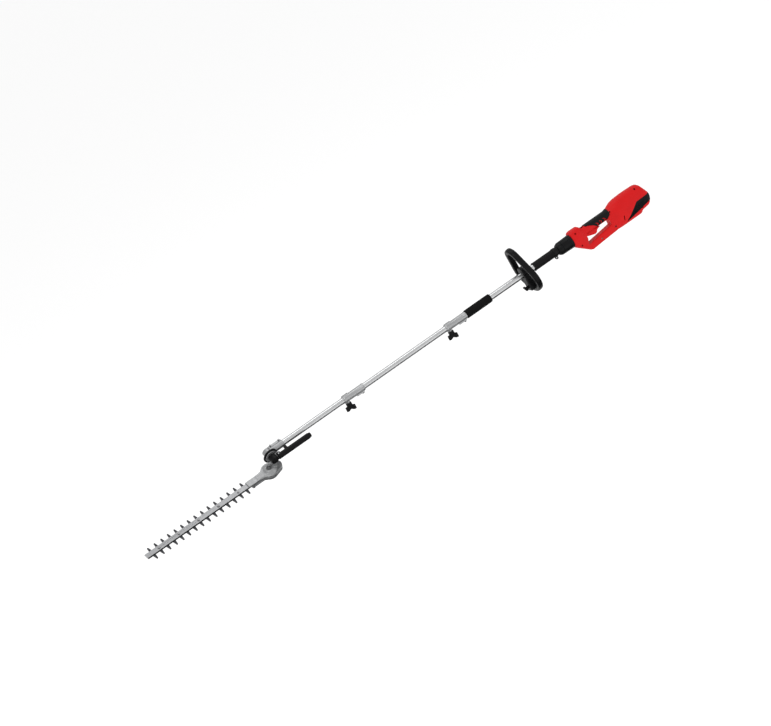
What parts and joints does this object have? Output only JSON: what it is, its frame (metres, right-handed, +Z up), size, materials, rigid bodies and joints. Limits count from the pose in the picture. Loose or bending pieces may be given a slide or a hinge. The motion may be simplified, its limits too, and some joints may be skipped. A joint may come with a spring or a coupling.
{
  "type": "pole hedge trimmer",
  "caption": "Corded electric pole hedge trimmer: double-sided blade on a tilting gear head, sectional pole, loop handle and rear motor unit with closed grip.",
  "frame": {"origin": "centre of the strap eye's bore, 22 mm below the pole axis", "axes": "+X along the pole from the blade to the motor, +Z up with the rear handle upright, -Y on the side of the head's squeeze lever"},
  "size_m": [2.452, 0.15, 0.2089],
  "materials": {
    "red_shell": "satin moulded plastic",
    "black_plastic": "fine textured moulded plastic",
    "soft_rubber": "matt soft-touch overmould",
    "foam": "closed-cell foam",
    "silver_tube": "clear anodised",
    "grey_sleeve": "grey anodised",
    "cast_alloy": "die-cast, shot-blasted",
    "cover_alloy": "die-cast, darker",
    "bar_steel": "ground plate",
    "blade_steel": "hardened, dark",
    "screw_steel": "blackened and zinc plated",
    "shaft_steel": "turned",
    "core_steel": "stacked laminations",
    "copper": "enamelled winding",
    "bush_plastic": "acetal"
  },
  "bodies": {
    "motor_unit": {"housing_left": "red_shell", "housing_right": "red_shell", "soft_grip": "soft_rubber", "vent_panels": "black_plastic", "rear_cap": "black_plastic", "cable_gland": "soft_rubber", "housing_screws": "screw_steel", "stator": "core_steel", "field_coils": "copper", "brush_gear": "black_plastic", "motor_bearings": "shaft_steel", "trigger_switch": "black_plastic", "collar": "black_plastic", "front_grip": "black_plastic", "strap_eye": "black_plastic", "rear_tube": "silver_tube", "rear_coupler": "grey_sleeve", "foam_grip": "foam", "rear_bushes": "bush_plastic", "lock_spring": "shaft_steel"},
    "trigger": {"trigger": "red_shell"},
    "lock_button": {"lock_button": "black_plastic"},
    "rotor": {"armature": "core_steel", "cooling_fan": "black_plastic", "rear_shaft": "shaft_steel"},
    "loop": {"loop_handle": "black_plastic", "loop_cap": "black_plastic", "loop_screws": "screw_steel"},
    "loop_knob": {"loop_knob": "black_plastic"},
    "rear_knob": {"rear_knob": "black_plastic"},
    "rear_detent": {"rear_detent": "black_plastic"},
    "middle_section": {"middle_tube": "silver_tube", "front_coupler": "grey_sleeve", "middle_bushes": "bush_plastic"},
    "middle_shaft": {"middle_shaft": "shaft_steel"},
    "front_knob": {"front_knob": "black_plastic"},
    "front_detent": {"front_detent": "black_plastic"},
    "lower_section": {"lower_tube": "silver_tube", "pole_bracket": "cast_alloy", "bracket_screws": "screw_steel", "index_ring": "black_plastic", "pivot_bolt": "screw_steel", "lower_bushes": "bush_plastic"},
    "lower_shaft": {"lower_shaft": "shaft_steel", "bevel_pinion": "shaft_steel"},
    "idler": {"idler_bevel": "shaft_steel"},
    "head": {"gear_housing": "cast_alloy", "gear_cover": "cover_alloy", "cover_screws": "screw_steel", "access_plug": "screw_steel", "hub_cap": "black_plastic", "support_bar": "bar_steel", "blade_bolts": "screw_steel", "lever_pin": "shaft_steel"},
    "transfer": {"transfer_shaft": "shaft_steel"},
    "crank": {"crank_gear": "shaft_steel"},
    "upper_blade": {"upper_blade": "blade_steel"},
    "lower_blade": {"lower_blade": "blade_steel"},
    "lever": {"squeeze_lever": "black_plastic"},
    "lock_pin": {"lock_pin": "shaft_steel"}
  },
  "joints": [
    {"name": "trigger_pull", "type": "hinge", "parent": "motor_unit", "child": "trigger", "pos_m": [0.148, 0, 0.014], "axis": [0, -1, 0], "range_deg": [0, 5], "stiffness_Nm_per_rad": 2, "springref_deg": -5.73},
    {"name": "lock_press", "type": "slide", "parent": "motor_unit", "child": "lock_button", "axis": [0, 0, -1], "range_m": [0, 0.003], "stiffness_N_per_m": 800, "springref_m": -0.001, "deforming": ["lock_spring"]},
    {"name": "rotor_spin", "type": "hinge", "parent": "motor_unit", "child": "rotor", "pos_m": [0, 0, 0.022], "axis": [1, 0, 0], "continuous": true},
    {"name": "loop_slide", "type": "slide", "parent": "motor_unit", "child": "loop", "axis": [1, 0, 0], "range_m": [-0.13, 0.018]},
    {"name": "loop_knob_spin", "type": "hinge", "parent": "loop", "child": "loop_knob", "pos_m": [-0.158, 0, -0.031], "axis": [1, 0, 0], "continuous": true},
    {"name": "rear_knob_spin", "type": "hinge", "parent": "motor_unit", "child": "rear_knob", "pos_m": [-0.518, 0, 0.022], "axis": [0, 0, 1], "continuous": true},
    {"name": "rear_detent_pull", "type": "slide", "parent": "motor_unit", "child": "rear_detent", "axis": [0, 0, -1], "range_m": [0, 0.002], "stiffness_N_per_m": 800, "springref_m": -0.001},
    {"name": "middle_pull", "type": "slide", "parent": "motor_unit", "child": "middle_section", "axis": [-1, 0, 0], "range_m": [0, 0.08]},
    {"name": "middle_shaft_spin", "type": "hinge", "parent": "middle_section", "child": "middle_shaft", "pos_m": [0, 0, 0.022], "axis": [1, 0, 0], "continuous": true},
    {"name": "front_knob_spin", "type": "hinge", "parent": "middle_section", "child": "front_knob", "pos_m": [-1.014, 0, 0.022], "axis": [0, 0, 1], "continuous": true},
    {"name": "front_detent_pull", "type": "slide", "parent": "middle_section", "child": "front_detent", "axis": [0, 0, -1], "range_m": [0, 0.002], "stiffness_N_per_m": 800, "springref_m": -0.001},
    {"name": "lower_pull", "type": "slide", "parent": "middle_section", "child": "lower_section", "axis": [-1, 0, 0], "range_m": [0, 0.08]},
    {"name": "lower_shaft_spin", "type": "hinge", "parent": "lower_section", "child": "lower_shaft", "pos_m": [0, 0, 0.022], "axis": [1, 0, 0], "continuous": true},
    {"name": "idler_spin", "type": "hinge", "parent": "lower_section", "child": "idler", "pos_m": [-1.39, 0, 0.022], "axis": [0, -0.809, -0.5878], "continuous": true},
    {"name": "head_tilt", "type": "hinge", "parent": "lower_section", "child": "head", "pos_m": [-1.39, 0, 0.022], "axis": [0, -0.809, -0.5878], "range_deg": [-90, 45]},
    {"name": "transfer_spin", "type": "hinge", "parent": "head", "child": "transfer", "pos_m": [-1.39, -0.02524, 0.00366], "axis": [0, -0.5878, 0.809], "continuous": true},
    {"name": "crank_spin", "type": "hinge", "parent": "head", "child": "crank", "pos_m": [-1.418, -0.02751, 0.00201], "axis": [0, -0.5878, 0.809], "continuous": true},
    {"name": "upper_blade_slide", "type": "slide", "parent": "head", "child": "upper_blade", "axis": [1, 0, 0], "range_m": [-0.0055, 0.0055]},
    {"name": "lower_blade_slide", "type": "slide", "parent": "head", "child": "lower_blade", "axis": [1, 0, 0], "range_m": [-0.0055, 0.0055]},
    {"name": "lever_squeeze", "type": "hinge", "parent": "head", "child": "lever", "pos_m": [-1.364, -0.0267, 0.0026], "axis": [0, -0.5878, 0.809], "range_deg": [0, 2.5], "stiffness_Nm_per_rad": 20, "springref_deg": -2.29},
    {"name": "lock_pin_slide", "type": "slide", "parent": "head", "child": "lock_pin", "axis": [0, -0.809, -0.5878], "range_m": [0, 0.004]}
  ],
  "couplings": [
    {"joint": "middle_shaft_spin", "follows": "rotor_spin", "ratio": 1},
    {"joint": "lower_shaft_spin", "follows": "rotor_spin", "ratio": 1},
    {"joint": "idler_spin", "follows": "rotor_spin", "ratio": -1},
    {"joint": "transfer_spin", "follows": "rotor_spin", "ratio": 1},
    {"joint": "crank_spin", "follows": "rotor_spin", "ratio": -0.33333},
    {"joint": "lower_blade_slide", "follows": "upper_blade_slide", "ratio": -1},
    {"joint": "lock_pin_slide", "follows": "lever_squeeze", "m_per_rad": 0.09}
  ]
}
